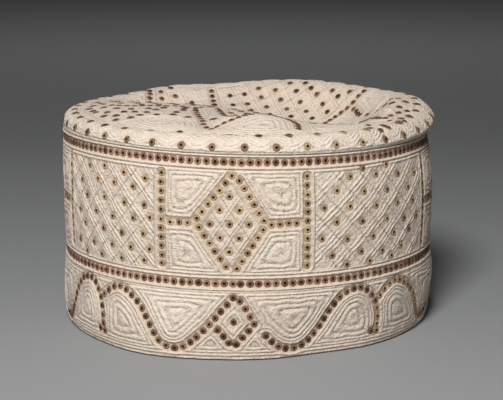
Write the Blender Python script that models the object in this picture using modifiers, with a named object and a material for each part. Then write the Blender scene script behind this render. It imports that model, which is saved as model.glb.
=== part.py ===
"""A quilted and embroidered cotton kufi, standing on its hem as it rests on a table.

Five rings and caps of quilted cloth meet edge to edge. The crown is a padded disc with a rolled rim,
pushed in at the back. Below it come a narrow eyelet band, the tall side wall, a second narrow eyelet
band and the hem band. The cap is open underneath for the head.

The origin is on the table at the middle of the hem. +Z is up, and -Y is the front.
"""

from collections import namedtuple
from math import atan2, cos, exp, hypot, pi, radians, sin

import bmesh
import bpy
from mathutils import Vector

MM = 0.001

# Cloth and seams
CLOTH = 2.6 * MM
SEAM_GAP = 0.3 * MM
TURNS = 72

# Heights of the piece edges above the table
CROWN_EDGE = 95.6 * MM
UPPER_BAND_EDGE = 88.9 * MM
LOWER_BAND_TOP = 39.9 * MM
LOWER_BAND_EDGE = 33.2 * MM

# The rolled rim of the crown
RIM_RADIUS = 92.4 * MM
RIM_TOP = 103.4 * MM
ROLL_INWARD = 7.4 * MM
ROLL_DOWN = 6.4 * MM
ROLL_STEPS = 4
SEAM_RADIUS = 91.5 * MM

# Where the crown's flat field ends and its rim begins, as distances from the middle
RIM_LIFT_FROM = 45 * MM
FIELD_FADES_FROM = 66 * MM
CREASE_RADIUS = 78.5 * MM
CREASE_HALF_WIDTH = 3.2 * MM
FIELD_RINGS_MM = (10, 20, 30, 39, 47, 54, 60.5, 66, 71, 75, 78.5, 81.5)

# A swell works on the cloth round one direction of the cap: 0 is the front, +90 the +X side.
Swell = namedtuple("Swell", "angle half_width amount")

RIM_LIFTS = (
    Swell(angle=157, half_width=41, amount=6.6 * MM),
    Swell(angle=97, half_width=26, amount=4.8 * MM),
    Swell(angle=-151, half_width=14, amount=2.2 * MM),
    Swell(angle=-98, half_width=46, amount=1.6 * MM),
)
RIM_BULGES = (
    Swell(angle=90, half_width=32, amount=2.3 * MM),
    Swell(angle=-90, half_width=45, amount=-1.1 * MM),
)
WALL_BULGES = (
    Swell(angle=92, half_width=42, amount=1.3 * MM),
    Swell(angle=-90, half_width=50, amount=-1.3 * MM),
)
HEM_WAVES = (
    Swell(angle=-30, half_width=17, amount=3.2 * MM),
    Swell(angle=23, half_width=13, amount=-3.6 * MM),
    Swell(angle=50, half_width=22, amount=-1.2 * MM),
    Swell(angle=88, half_width=26, amount=1.2 * MM),
)
FRONT_CREASE = (Swell(angle=4, half_width=48, amount=-1.4 * MM),)
SEAM_SWAYS = (
    Swell(angle=-52, half_width=40, amount=1.1 * MM),
    Swell(angle=35, half_width=38, amount=-0.9 * MM),
)

# A fold lifts or presses one patch of the crown's field. Its turn is anticlockwise seen from above.
Fold = namedtuple("Fold", "x y reach_x reach_y turn rise")

CROWN_FOLDS = (
    Fold(x=28 * MM, y=46 * MM, reach_x=40 * MM, reach_y=31 * MM, turn=0, rise=-12.0 * MM),
    Fold(x=48 * MM, y=8 * MM, reach_x=28 * MM, reach_y=36 * MM, turn=0, rise=-9.5 * MM),
    Fold(x=-46 * MM, y=52 * MM, reach_x=40 * MM, reach_y=20 * MM, turn=0, rise=-8.0 * MM),
    Fold(x=-46 * MM, y=-14 * MM, reach_x=46 * MM, reach_y=42 * MM, turn=0, rise=3.6 * MM),
    Fold(x=82 * MM, y=-12 * MM, reach_x=15 * MM, reach_y=30 * MM, turn=0, rise=9.5 * MM),
    Fold(x=5 * MM, y=-54 * MM, reach_x=19 * MM, reach_y=13 * MM, turn=0, rise=4.8 * MM),
    Fold(x=-17 * MM, y=-60 * MM, reach_x=7 * MM, reach_y=12 * MM, turn=0, rise=-1.8 * MM),
    Fold(x=70 * MM, y=-38 * MM, reach_x=5 * MM, reach_y=30 * MM, turn=-25, rise=-1.8 * MM),
)

# The outer side of each turned piece, from its top edge down
Row = namedtuple("Row", "height radius")

UPPER_BAND_ROWS = (
    Row(height=CROWN_EDGE - SEAM_GAP, radius=91.4 * MM),
    Row(height=94.2 * MM, radius=91.4 * MM),
    Row(height=93.3 * MM, radius=90.6 * MM),
    Row(height=91.2 * MM, radius=90.6 * MM),
    Row(height=90.3 * MM, radius=91.5 * MM),
    Row(height=UPPER_BAND_EDGE, radius=91.6 * MM),
)
SIDE_WALL_ROWS = (
    Row(height=UPPER_BAND_EDGE - SEAM_GAP, radius=91.7 * MM),
    Row(height=85 * MM, radius=92.1 * MM),
    Row(height=76 * MM, radius=92.8 * MM),
    Row(height=66 * MM, radius=93.1 * MM),
    Row(height=56 * MM, radius=93.0 * MM),
    Row(height=47 * MM, radius=92.7 * MM),
    Row(height=LOWER_BAND_TOP + SEAM_GAP, radius=92.4 * MM),
)
LOWER_BAND_ROWS = (
    Row(height=LOWER_BAND_TOP, radius=92.4 * MM),
    Row(height=38.4 * MM, radius=92.3 * MM),
    Row(height=37.5 * MM, radius=91.4 * MM),
    Row(height=35.5 * MM, radius=91.4 * MM),
    Row(height=34.6 * MM, radius=92.4 * MM),
    Row(height=LOWER_BAND_EDGE, radius=92.6 * MM),
)
HEM_BAND_ROWS = (
    Row(height=LOWER_BAND_EDGE - SEAM_GAP, radius=92.8 * MM),
    Row(height=27 * MM, radius=93.2 * MM),
    Row(height=20 * MM, radius=93.3 * MM),
    Row(height=12 * MM, radius=92.9 * MM),
    Row(height=5 * MM, radius=92.0 * MM),
    Row(height=0, radius=90.9 * MM),
)

# Heights between which the hem's waves die out, the wall's bulges come and go, and the seam sways
HEM_WAVE_LOW = 8 * MM
HEM_WAVE_HIGH = 40 * MM
BULGE_FROM = 4 * MM
BULGE_FULL = 30 * MM
BULGE_WANES = 66 * MM
SWAY_LOW = 50 * MM
SWAY_HIGH = 104 * MM

COTTON = (0.80, 0.70, 0.56, 1)
STITCHED_COTTON = (0.76, 0.65, 0.51, 1)
THREAD_BROWN = (0.33, 0.17, 0.10, 1)


def ease(low, high, value):
    """0 up to low, 1 past high, and smooth between them."""
    t = min(max((value - low) / (high - low), 0), 1)
    return t * t * (3 - 2 * t)


def swell_at(swells, angle):
    """The sum of these swells in one direction round the cap, given in degrees."""
    total = 0
    for swell in swells:
        away = (angle - swell.angle + 180) % 360 - 180
        total += swell.amount * exp(-((away / swell.half_width) ** 2))
    return total


def direction_of(point):
    return atan2(point.x, -point.y) * 180 / pi


def seam_sway(height, angle):
    """How far the upper seam wanders up or down, fading out above and below it."""
    fade = ease(SWAY_LOW, CROWN_EDGE, height) * (1 - ease(CROWN_EDGE, SWAY_HIGH, height))
    return swell_at(SEAM_SWAYS, angle) * fade


def field_height(x, y):
    """The height of the crown's field, inside the rolled rim."""
    radius = hypot(x, y)
    angle = atan2(x, -y) * 180 / pi
    rim_radius = RIM_RADIUS - ROLL_INWARD
    height = RIM_TOP + swell_at(RIM_LIFTS, angle) * ease(RIM_LIFT_FROM, rim_radius, radius)
    inside = 1 - ease(FIELD_FADES_FROM, rim_radius, radius)
    for fold in CROWN_FOLDS:
        turn = radians(fold.turn)
        along = (x - fold.x) * cos(turn) + (y - fold.y) * sin(turn)
        across = (y - fold.y) * cos(turn) - (x - fold.x) * sin(turn)
        nearness = exp(-((along / fold.reach_x) ** 2) - (across / fold.reach_y) ** 2)
        height += fold.rise * nearness * inside
    in_crease = exp(-(((radius - CREASE_RADIUS) / CREASE_HALF_WIDTH) ** 2))
    return height + swell_at(FRONT_CREASE, angle) * in_crease


def cloth_material(name, colour):
    material = bpy.data.materials.new(name)
    material.use_nodes = True
    shader = material.node_tree.nodes["Principled BSDF"]
    shader.inputs["Base Color"].default_value = colour
    shader.inputs["Roughness"].default_value = 0.92
    shader.inputs["Metallic"].default_value = 0.0
    material.diffuse_color = colour
    return material


def add_piece(name, mesh_builder, colour, collection):
    mesh = bpy.data.meshes.new(name)
    mesh_builder.to_mesh(mesh)
    mesh_builder.free()
    mesh.materials.append(cloth_material(f"{name}_cotton", colour))
    mesh.shade_smooth()
    mesh.set_sharp_from_angle(angle=radians(50))
    piece = bpy.data.objects.new(name, mesh)
    collection.objects.link(piece)
    return piece


def line_of(builder, points, closed):
    """A chain of edges through these points in the XZ plane."""
    vertices = [builder.verts.new((radius, 0, height)) for height, radius in points]
    edges = [builder.edges.new(pair) for pair in zip(vertices, vertices[1:])]
    if closed:
        edges.append(builder.edges.new((vertices[-1], vertices[0])))
    return vertices + edges


def turn_about_z(builder, geometry):
    bmesh.ops.spin(
        builder,
        geom=geometry,
        cent=(0, 0, 0),
        axis=(0, 0, 1),
        angle=2 * pi,
        steps=TURNS,
        use_merge=True,
        use_duplicate=False,
    )
    bmesh.ops.remove_doubles(builder, verts=builder.verts, dist=0.00001)
    bmesh.ops.recalc_face_normals(builder, faces=builder.faces)


def wall_push(height, angle):
    """How far the hem's waves and the wall's bulges move the cloth outwards."""
    in_hem = 1 - ease(HEM_WAVE_LOW, HEM_WAVE_HIGH, height)
    in_wall = ease(BULGE_FROM, BULGE_FULL, height) * (1 - ease(BULGE_WANES, CROWN_EDGE, height))
    return swell_at(HEM_WAVES, angle) * in_hem + swell_at(WALL_BULGES, angle) * in_wall


def shape_wall(builder):
    """Moves a turned wall's cloth out and in, and up and down by the seam's sway."""
    for vertex in builder.verts:
        point = vertex.co
        angle = direction_of(point)
        outward = Vector((point.x, point.y, 0)).normalized()
        rise = seam_sway(point.z, angle)
        vertex.co = point + outward * wall_push(point.z, angle) + Vector((0, 0, rise))


def shape_crown(builder):
    """Presses the folds into the crown's field, and lifts and bulges its rim where the real one does."""
    for vertex in builder.verts:
        point = vertex.co
        if hypot(point.x, point.y) < RIM_RADIUS - ROLL_INWARD - MM:
            vertex.co.z = field_height(point.x, point.y)
            continue
        angle = direction_of(point)
        cheek_top = RIM_TOP - ROLL_DOWN
        on_roll = ease(CROWN_EDGE, cheek_top, point.z)
        on_cheek = on_roll * (1 - ease(cheek_top, RIM_TOP, point.z))
        outward = Vector((point.x, point.y, 0)).normalized()
        rise = seam_sway(point.z, angle) + swell_at(RIM_LIFTS, angle) * on_roll
        vertex.co = point + outward * swell_at(RIM_BULGES, angle) * on_cheek + Vector((0, 0, rise))


def make_ring(name, rows, colour, collection):
    """A band of cloth: its shaped outer side, and an inner side one thickness in, with half its rows."""
    inner_rows = [rows[-1], *rows[-3:1:-2], rows[0]]
    inner_side = [Row(row.height, row.radius - CLOTH) for row in inner_rows]
    builder = bmesh.new()
    turn_about_z(builder, line_of(builder, [*rows, *inner_side], closed=True))
    shape_wall(builder)
    return add_piece(name, builder, colour, collection)


def crown_rows():
    """The crown's line from its middle out over the rolled rim and down to the seam."""
    rows = [Row(height=RIM_TOP, radius=radius * MM) for radius in (0, *FIELD_RINGS_MM)]
    for step in range(ROLL_STEPS + 1):
        turn = pi / 2 * step / ROLL_STEPS
        height = RIM_TOP - ROLL_DOWN * (1 - cos(turn))
        rows.append(Row(height, radius=RIM_RADIUS - ROLL_INWARD * (1 - sin(turn))))
    return [*rows, Row(height=CROWN_EDGE, radius=SEAM_RADIUS)]


def make_crown(name, colour, collection):
    """The padded disc: an open surface turned about Z, pressed into its folds, and thickened."""
    builder = bmesh.new()
    turn_about_z(builder, line_of(builder, crown_rows(), closed=False))
    shape_crown(builder)
    crown = add_piece(name, builder, colour, collection)
    thickness = crown.modifiers.new("Cloth thickness", "SOLIDIFY")
    thickness.thickness = CLOTH
    thickness.offset = -1
    thickness.use_even_offset = True
    return crown


def main():
    for leftover in list(bpy.data.objects):
        bpy.data.objects.remove(leftover)
    kufi = bpy.data.collections.new("kufi")
    bpy.context.scene.collection.children.link(kufi)
    make_crown("crown", COTTON, kufi)
    make_ring("upper_eyelet_band", UPPER_BAND_ROWS, THREAD_BROWN, kufi)
    make_ring("side_wall", SIDE_WALL_ROWS, COTTON, kufi)
    make_ring("lower_eyelet_band", LOWER_BAND_ROWS, THREAD_BROWN, kufi)
    make_ring("hem_band", HEM_BAND_ROWS, STITCHED_COTTON, kufi)


main()
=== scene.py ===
"""The looks of a quilted cotton kufi: corded quilting, lattice ridges and hand-worked eyelets.

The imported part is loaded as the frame. Each of its five pieces of cloth is made again here with
its quilting, and the eyelets are sewn on as small thread rings. Pattern sizes are in millimetres
along the cloth, and places on the walls are given as a direction round the cap in degrees, 0 at
the front and +90 at the +X side, and a height above the table.
"""

from collections import namedtuple
from functools import partial
from math import pi, radians

import bmesh
import bpy
import numpy as np
from bpy.props import FloatProperty, FloatVectorProperty, IntProperty, PointerProperty
from mathutils import Matrix, Vector


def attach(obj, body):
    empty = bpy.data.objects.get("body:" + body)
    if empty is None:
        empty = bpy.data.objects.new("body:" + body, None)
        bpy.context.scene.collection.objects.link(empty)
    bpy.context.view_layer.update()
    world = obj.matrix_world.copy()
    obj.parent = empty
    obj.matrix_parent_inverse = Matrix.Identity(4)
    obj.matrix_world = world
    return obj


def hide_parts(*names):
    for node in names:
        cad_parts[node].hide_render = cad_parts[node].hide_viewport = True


bl_info = {
    "name": "Quilted Kufi",
    "version": (1, 0, 0),
    "blender": (4, 5, 0),
    "location": "3D View > Sidebar > Kufi",
    "description": "Quilts and embroiders a cotton kufi round its packed part",
    "category": "Object",
}

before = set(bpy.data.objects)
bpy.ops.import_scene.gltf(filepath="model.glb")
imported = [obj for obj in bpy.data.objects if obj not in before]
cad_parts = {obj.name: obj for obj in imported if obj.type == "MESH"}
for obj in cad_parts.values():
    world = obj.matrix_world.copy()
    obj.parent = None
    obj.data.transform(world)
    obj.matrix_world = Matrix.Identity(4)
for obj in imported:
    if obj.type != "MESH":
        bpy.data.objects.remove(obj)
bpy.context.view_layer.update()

MM = 0.001

# The part's own sizes, in millimetres
CLOTH = 2.6
CROWN_EDGE = 95.6
UPPER_BAND_EDGE = 88.9
LOWER_BAND_TOP = 39.9
LOWER_BAND_EDGE = 33.2
RIM_RADIUS = 92.4
RIM_TOP = 103.4
ROLL_INWARD = 7.4
ROLL_DOWN = 6.4
SEAM_RADIUS = 91.5
FIELD_RADIUS = RIM_RADIUS - ROLL_INWARD
CHEEK_TOP = RIM_TOP - ROLL_DOWN

# Lengths along the cloth from the middle of the crown to the ends of its roll and its cheek
ROLL_END = FIELD_RADIUS + 10.9
CROWN_REACH = ROLL_END + 1.75

# A swell round the cap: its direction and half its width in degrees, and how much it adds there
Swell = namedtuple("Swell", "angle half_width amount")
RIM_LIFTS = (Swell(157, 41, 6.6), Swell(97, 26, 4.8), Swell(-151, 14, 2.2), Swell(-98, 46, 1.6))
RIM_BULGES = (Swell(90, 32, 2.3), Swell(-90, 45, -1.1))
WALL_BULGES = (Swell(92, 42, 1.3), Swell(-90, 50, -1.3))
HEM_WAVES = (Swell(-30, 17, 3.2), Swell(23, 13, -3.6), Swell(50, 22, -1.2), Swell(88, 26, 1.2))
FRONT_CREASE = (Swell(4, 48, -1.4),)
SEAM_SWAYS = (Swell(-52, 40, 1.1), Swell(35, 38, -0.9))

# A dent or a rise of the crown's field: where its middle is, how far it reaches each way, how far
# those ways are turned, and how much it rises
Fold = namedtuple("Fold", "x y reach_x reach_y turn rise")
CROWN_FOLDS = (
    Fold(28, 46, 40, 31, 0, -12.0),
    Fold(48, 8, 28, 36, 0, -9.5),
    Fold(-46, 52, 40, 20, 0, -8.0),
    Fold(-46, -14, 46, 42, 0, 3.6),
    Fold(82, -12, 15, 30, 0, 9.5),
    Fold(5, -54, 19, 13, 0, 4.8),
    Fold(-17, -60, 7, 12, 0, -1.8),
    Fold(70, -38, 5, 30, -25, -1.8),
)

# The wall's heights and how far out it stands at each
WALL_HEIGHTS, WALL_RADII = zip(
    (0, 90.9), (5, 92.0), (12, 92.9), (20, 93.3), (27, 93.2), (33, 92.7), (40, 92.4), (47, 92.7),
    (56, 93.0), (66, 93.1), (76, 92.8), (85, 92.1), (89, 91.6), (CROWN_EDGE, 91.4),
)  # fmt: skip

# One degree round the wall, measured along the cloth, and where that measure starts
DEGREE = 1.623
FIRST_ANGLE = -65.8
ROUND = 360 * DEGREE

# The narrow bands are cut this wide, and their edges are turned under until only the row shows
BAND_CUT = 10 * MM

# How far the wall's and the hem's cloths stop short of the part's edges, and how far the bands pass
# theirs, in millimetres
CLOTH_SHORT = 0.16
BAND_PAST = 0.14
BAND_TOP_SHORT = 0.02

# Places with nothing near them count as this far off. Seams are measured within the smaller reach.
FAR = 99.0
SEAM_REACH = 26


def linear(hex_colour):
    """The linear colour of an sRGB hex value such as 'c8b79a'."""
    values = [int(hex_colour[place : place + 2], 16) / 255 for place in (0, 2, 4)]
    return tuple(v / 12.92 if v <= 0.04045 else ((v + 0.055) / 1.055) ** 2.4 for v in values)


def in_mm(name, default, low, high, description):
    """A length property, from values in millimetres."""
    return FloatProperty(
        name=name,
        description=description,
        default=default * MM,
        min=low * MM,
        max=high * MM,
        precision=5,
        unit="LENGTH",
    )


def colour(name, hex_colour, description):
    """A colour property, from an sRGB hex value."""
    return FloatVectorProperty(
        name=name,
        description=description,
        default=linear(hex_colour),
        min=0.0,
        max=1.0,
        subtype="COLOR",
    )


class KufiCloth(bpy.types.PropertyGroup):
    """Sizes and colours of the quilted cotton."""

    cord_pitch: in_mm("Cord pitch", 2.15, 1, 5, "Distance between neighbouring quilting lines")
    cord_height: in_mm("Cord height", 0.44, 0, 1.5, "How far the cotton stands up between lines")
    stitch_length: in_mm("Stitch length", 1.15, 0.5, 4, "Length of one back stitch along a line")
    cotton: colour("Cotton", "e6d7c7", "Colour of the cream cotton")
    # The groove colour is painted shade with some dirt: the cotton turns to it in the quilting
    # lines, the lattice's sunk lines and valleys and the pits of its face
    groove_shade_and_dirt: colour("Groove", "9c856d", "Colour of the cotton down in the quilting lines")
    stain: colour("Stain", "ccb398", "Tint where the brown thread has bled into the cotton")


class KufiEyelets(bpy.types.PropertyGroup):
    """Sizes and number of the eyelets."""

    outer_radius: in_mm("Outer radius", 1.85, 0.5, 4, "From an eyelet's middle to its ring's foot")
    spacing: in_mm("Spacing", 4.15, 2, 10, "Distance between eyelets along a close row")
    band_count: IntProperty(
        name="Band eyelets",
        description="Number of eyelets round each narrow band",
        default=147,
        min=24,
        max=240,
    )


class KufiStage(bpy.types.PropertyGroup):
    """The camera and the floor."""

    lens: FloatProperty(
        name="Lens",
        description="Focal length of the camera on its 36 mm sensor",
        default=104.0,
        min=10.0,
        max=400.0,
        subtype="DISTANCE_CAMERA",
    )
    camera_place: FloatVectorProperty(
        name="Camera place",
        description="Where the camera stands",
        default=(0.00294, -0.730, 0.2004),
        subtype="TRANSLATION",
        unit="LENGTH",
    )
    camera_pitch: FloatProperty(
        name="Camera pitch",
        description="How far the camera looks down",
        default=radians(11.1),
        subtype="ANGLE",
    )
    floor_colour: colour("Floor", "929394", "Colour of the plain floor")


def ease(low, high, value):
    """0 up to low, 1 past high, and smooth between them."""
    t = np.clip((value - low) / (high - low), 0, 1)
    return t * t * (3 - 2 * t)


def swell_at(swells, angle):
    """The sum of these swells in each direction round the cap, given in degrees."""
    total = np.zeros_like(angle)
    for swell in swells:
        away = (angle - swell.angle + 180) % 360 - 180
        total += swell.amount * np.exp(-((away / swell.half_width) ** 2))
    return total


# The heights between which the upper seam's sway comes in and fades out again
SWAY_START = 50
SWAY_END = 104

# The heights between which the hem's waves fade, and those of the wall's bulges
HEM_FADE = (8, 40)
WALL_FADE_IN = (4, 30)
WALL_FADE_OUT = (66, CROWN_EDGE)

# The rises of the crown's rim start this far out, its folds fade from this far out, and its front
# crease runs this far out and is this wide
LIFT_START = 45
FOLD_END = 66
CREASE_RADIUS = 78.5
CREASE_WIDTH = 3.2


def seam_sway(height, angle):
    """How far the upper seam's sway lifts each place on the wall."""
    fade = ease(SWAY_START, CROWN_EDGE, height) * (1 - ease(CROWN_EDGE, SWAY_END, height))
    return swell_at(SEAM_SWAYS, angle) * fade


def wall_place(angle, height):
    """Points of the wall's plain outer side, without its quilting."""
    radius = np.interp(height, WALL_HEIGHTS, WALL_RADII)
    in_hem = 1 - ease(*HEM_FADE, height)
    in_wall = ease(*WALL_FADE_IN, height) * (1 - ease(*WALL_FADE_OUT, height))
    radius = radius + swell_at(HEM_WAVES, angle) * in_hem + swell_at(WALL_BULGES, angle) * in_wall
    turn = np.radians(angle)
    rise = seam_sway(height, angle)
    return np.stack((radius * np.sin(turn), -radius * np.cos(turn), height + rise), axis=1)


def field_height(x, y):
    """The height of the crown's field, inside its rolled rim."""
    radius = np.hypot(x, y)
    angle = np.degrees(np.arctan2(x, -y))
    height = RIM_TOP + swell_at(RIM_LIFTS, angle) * ease(LIFT_START, FIELD_RADIUS, radius)
    inside = 1 - ease(FOLD_END, FIELD_RADIUS, radius)
    for fold in CROWN_FOLDS:
        turn = radians(fold.turn)
        along = (x - fold.x) * np.cos(turn) + (y - fold.y) * np.sin(turn)
        across = (y - fold.y) * np.cos(turn) - (x - fold.x) * np.sin(turn)
        nearness = np.exp(-((along / fold.reach_x) ** 2) - (across / fold.reach_y) ** 2)
        height += fold.rise * nearness * inside
    crease = np.exp(-(((radius - CREASE_RADIUS) / CREASE_WIDTH) ** 2))
    return height + swell_at(FRONT_CREASE, angle) * crease


def crown_place(x, y):
    """Points of the crown's plain outer side. x and y are measured along its cloth."""
    reach = np.hypot(x, y)
    angle = np.degrees(np.arctan2(x, -y))
    turn = np.clip((reach - FIELD_RADIUS) / (ROLL_END - FIELD_RADIUS), 0, 1) * pi / 2
    down = np.clip((reach - ROLL_END) / (CROWN_REACH - ROLL_END), 0, None)
    radius = np.where(reach < FIELD_RADIUS, reach, RIM_RADIUS - ROLL_INWARD * (1 - np.sin(turn)))
    radius = radius + down * (SEAM_RADIUS - RIM_RADIUS)
    rim_height = RIM_TOP - ROLL_DOWN * (1 - np.cos(turn)) + down * (CROWN_EDGE - CHEEK_TOP)
    on_roll = ease(CROWN_EDGE, CHEEK_TOP, rim_height)
    on_cheek = on_roll * (1 - ease(CHEEK_TOP, RIM_TOP, rim_height))
    rim_height = rim_height + seam_sway(rim_height, angle) + swell_at(RIM_LIFTS, angle) * on_roll
    radius = radius + swell_at(RIM_BULGES, angle) * on_cheek
    height = np.where(reach < FIELD_RADIUS, field_height(x, y), rim_height)
    side = np.radians(angle)
    return np.stack((radius * np.sin(side), -radius * np.cos(side), height), axis=1)


def surface(place, a, b, step_a, step_b=0.3):
    """Points of a plain side with the directions along it and out of it."""
    point = place(a, b)
    along = place(a + step_a, b) - place(a - step_a, b)
    up = place(a, b + step_b) - place(a, b - step_b)
    along /= np.linalg.norm(along, axis=1, keepdims=True)
    out = np.cross(along, up)
    out /= np.linalg.norm(out, axis=1, keepdims=True)
    return point, along, np.cross(out, along), out


wall_surface = partial(surface, wall_place, step_a=0.2)
crown_surface = partial(surface, crown_place, step_a=0.3)

# A seam is a line on the cloth that the quilting echoes. Its channel is the plain strip on each
# side of it where eyelets sit, 0 where it has none.
Seam = namedtuple("Seam", "points channel")

# A lattice fills one area of the cloth. Its eyelets stand where both of its line counts are even,
# and its quilting lines run where one of them is odd. Lean says which way the strong ridges lean.
Lattice = namedtuple("Lattice", "origin half_a half_b inside lean")

Eyelet = namedtuple("Eyelet", "a b thread")

# The bare strip on each side of a row of eyelets
CHANNEL = 2.0


class Pattern:
    """The seams, lattices and eyelets of one piece of cloth, all in millimetres along it.

    A ring of cloth starts again after this many millimetres around.
    """

    def __init__(self, around=0):
        self.turns = (0, -around, around) if around else (0,)
        self.seams = []
        self.lattices = []
        self.eyelets = []

    def add_seam(self, points, channel):
        for turn in self.turns:
            self.seams.append(Seam(np.asarray(points, float) + (turn, 0), channel))

    def sew_row(self, points, thread, spacing):
        """Adds a seam with a close row of eyelets along it."""
        points = np.asarray(points, float)
        self.add_seam(points, CHANNEL)
        steps = np.r_[0, np.cumsum(np.hypot(*np.diff(points, axis=0).T))]
        count = max(round(steps[-1] / spacing), 1)
        at = np.linspace(0, steps[-1], count + 1)
        for a, b in zip(*(np.interp(at, steps, column) for column in points.T)):
            self.add_eyelet(a, b, thread)

    def add_eyelet(self, a, b, thread):
        self.eyelets.append(Eyelet(a, b, thread))

    def eyelet_places(self):
        places = np.array([(eyelet.a, eyelet.b) for eyelet in self.eyelets])
        return np.vstack([places + (turn, 0) for turn in self.turns])


def smooth_line(points, steps):
    """A curve through these points, with a few short lines between each two."""
    points = np.asarray(points, float)
    ends = np.vstack((2 * points[0] - points[1], points, 2 * points[-1] - points[-2]))
    line = []
    for before, start, end, after in zip(ends, ends[1:], ends[2:], ends[3:]):
        slope = end - before
        bend = 2 * before - 5 * start + 4 * end - after
        twist = 3 * start - before - 3 * end + after
        for t in np.arange(steps) / steps:
            line.append(0.5 * (2 * start + slope * t + bend * t**2 + twist * t**3))
    return np.array([*line, points[-1]])


def distance_to(points, seam):
    """The distance from each point to a seam, and how far along it the nearest place is."""
    near = np.full(len(points), FAR)
    along = np.zeros(len(points))
    low = seam.points.min(axis=0) - SEAM_REACH
    high = seam.points.max(axis=0) + SEAM_REACH
    here = np.flatnonzero(((points > low) & (points < high)).all(axis=1))
    start_along = 0.0
    for start, end in zip(seam.points, seam.points[1:]):
        line = end - start
        length = np.hypot(*line)
        offset = points[here] - start
        part = np.clip(offset @ line / length**2, 0, 1)
        distance = np.hypot(offset[:, 0] - part * line[0], offset[:, 1] - part * line[1])
        closer = distance < near[here]
        near[here[closer]] = distance[closer]
        along[here[closer]] = start_along + part[closer] * length
        start_along += length
    return near, along


def blended_nearest(distances, power=4.0, least_seen=0.05):
    """The smallest of these distances, rounded more and more where seams are equally far."""
    least = distances.min(axis=0)
    blended = (np.maximum(distances, least_seen) ** -power).sum(axis=0) ** (-1 / power)
    return np.where(least > least_seen, blended, least)


# Hand quilting wanders off its true lines. Each kind of wandering has a size in millimetres of
# space, a seed for its chance and an amount.
Wander = namedtuple("Wander", "size seed amount")
ECHO_WANDERS = (Wander(10, 1, 0.3), Wander(4, 2, 0.07))
PUFF_WANDER = Wander(6, 3, 0.25)
FIRST_WANDER = Wander(7, 4, 0.045)
SECOND_WANDER = Wander(7, 5, 0.045)
LATTICE_WANDER = Wander(8, 6, 0.25)
OUTER_WANDER = Wander(24, 7, 1)


def wander(place, kind):
    """A smooth chance of about this amount each way at each place."""
    chance = np.random.default_rng(kind.seed)
    total = np.zeros(len(place))
    for _ in range(8):
        way = chance.normal(size=3)
        way *= 2 * pi / (kind.size * chance.uniform(0.8, 1.8) * np.linalg.norm(way))
        total += np.sin(place @ way + chance.uniform(0, 2 * pi))
    return kind.amount * (total / 3.2)


# What the quilting is like at each point of the cloth: how many lines it is from its seam and how
# far along it, how much the echo lines show, the two line counts of its lattice and how much that
# shows, how far it is from a row's middle and from an eyelet, how high its cords stand, and how
# much a lattice's outer ribs show
Quilting = namedtuple(
    "Quilting", "lines along echo_share first second lattice_share bare eyelet puff outer_share"
)


def quilt(pattern, points, place, cloth):
    """Measures the pattern at each point of the cloth."""
    distances = []
    nearest = np.full(len(points), FAR)
    along = np.zeros(len(points))
    bare = np.full(len(points), FAR)
    for seam in pattern.seams:
        distance, run = distance_to(points, seam)
        past_channel = distance - seam.channel
        along = np.where(past_channel < nearest, run, along)
        nearest = np.minimum(nearest, past_channel)
        distances.append(past_channel)
        if seam.channel:
            bare = np.minimum(bare, distance)
    echo = blended_nearest(np.array(distances))
    echo = echo + ease(0.3, 3.5, echo) * sum(wander(place, kind) for kind in ECHO_WANDERS)
    first, second, inside = np.zeros((3, len(points)))
    for lattice in pattern.lattices:
        offset = points - lattice.origin
        counts = offset @ np.linalg.inv(np.array([lattice.half_a, lattice.half_b]))
        count_a, count_b = counts.T[:: lattice.lean]
        here = lattice.inside(points)
        first = np.where(here, count_a, first)
        second = np.where(here, count_b, second)
        inside = np.maximum(inside, here)
    return Quilting(
        lines=count_lines(echo, cloth.cord_pitch / MM),
        along=along,
        echo_share=(1 - inside) * ease(0, 0.35, echo),
        first=first + wander(place, FIRST_WANDER),
        second=second + wander(place, SECOND_WANDER),
        lattice_share=inside * np.clip(0.85 + wander(place, LATTICE_WANDER), 0.45, 1.15),
        bare=bare,
        eyelet=nearest_eyelet(points, pattern.eyelet_places()),
        puff=1 + wander(place, PUFF_WANDER),
        outer_share=0.15 + 0.85 * ease(-0.7, 0.7, wander(place, OUTER_WANDER)),
    )


def nearest_eyelet(points, eyelets, cell=6.0, column_keys=100003):
    """The distance from each point to the nearest eyelet, looked for in square cells."""
    nearest = np.full(len(points), FAR)
    cells = np.floor(points / cell).astype(int)
    keys = cells[:, 0] * column_keys + cells[:, 1]
    order = np.argsort(keys, kind="stable")
    ordered = keys[order]
    for a, b in eyelets:
        column, row = int(np.floor(a / cell)), int(np.floor(b / cell))
        for next_column in (column - 1, column, column + 1):
            key = next_column * column_keys + row
            low = np.searchsorted(ordered, key - 1)
            high = np.searchsorted(ordered, key + 1, "right")
            here = order[low:high]
            distance = np.hypot(points[here, 0] - a, points[here, 1] - b)
            nearest[here] = np.minimum(nearest[here], distance)
    return nearest


# The pitch of the two close lines beside the common one, and how round the cords are
CLOSE_SHARE = 0.72
CORD_ROUND = 2.2


def cord_profile(lines):
    """0 at each quilting line and 1 midway between two, with a round back and a sharp valley."""
    part = np.abs(lines % 1 * 2 - 1)
    return 1 - part**CORD_ROUND


def count_lines(echo, pitch):
    """How many quilting lines lie between a place and its seam: two close ones, then wider ones."""
    close = CLOSE_SHARE * pitch
    return np.where(echo < 2 * close, echo / close, 2 + (echo - 2 * close) / pitch)


# From one line of a lattice to the next, in millimetres
LATTICE_UNIT = 4.7

# How far from its line a lattice's inner and outer ribs stand, how wide they are, and how high the
# outer ones are
INNER_RIB_PLACE = 0.9
OUTER_RIB_PLACE = 2.7
RIB_WIDTH = 0.5
OUTER_RIB = 0.6
CROWN_OUTER_RIB = 0.12

# The sunk line across the ribs: how deep and wide it is, and how far and widely it breaks them
SUNK_DEPTH = 0.45
SUNK_WIDTH = 0.4
RIB_BREAK = 0.7
RIB_BREAK_WIDTH = 0.7

# The radius of a sewn edge, and how far the hem's lower edge turns under
EDGE_ROUND = 0.16
HEM_TUCK = 1.8

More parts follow.
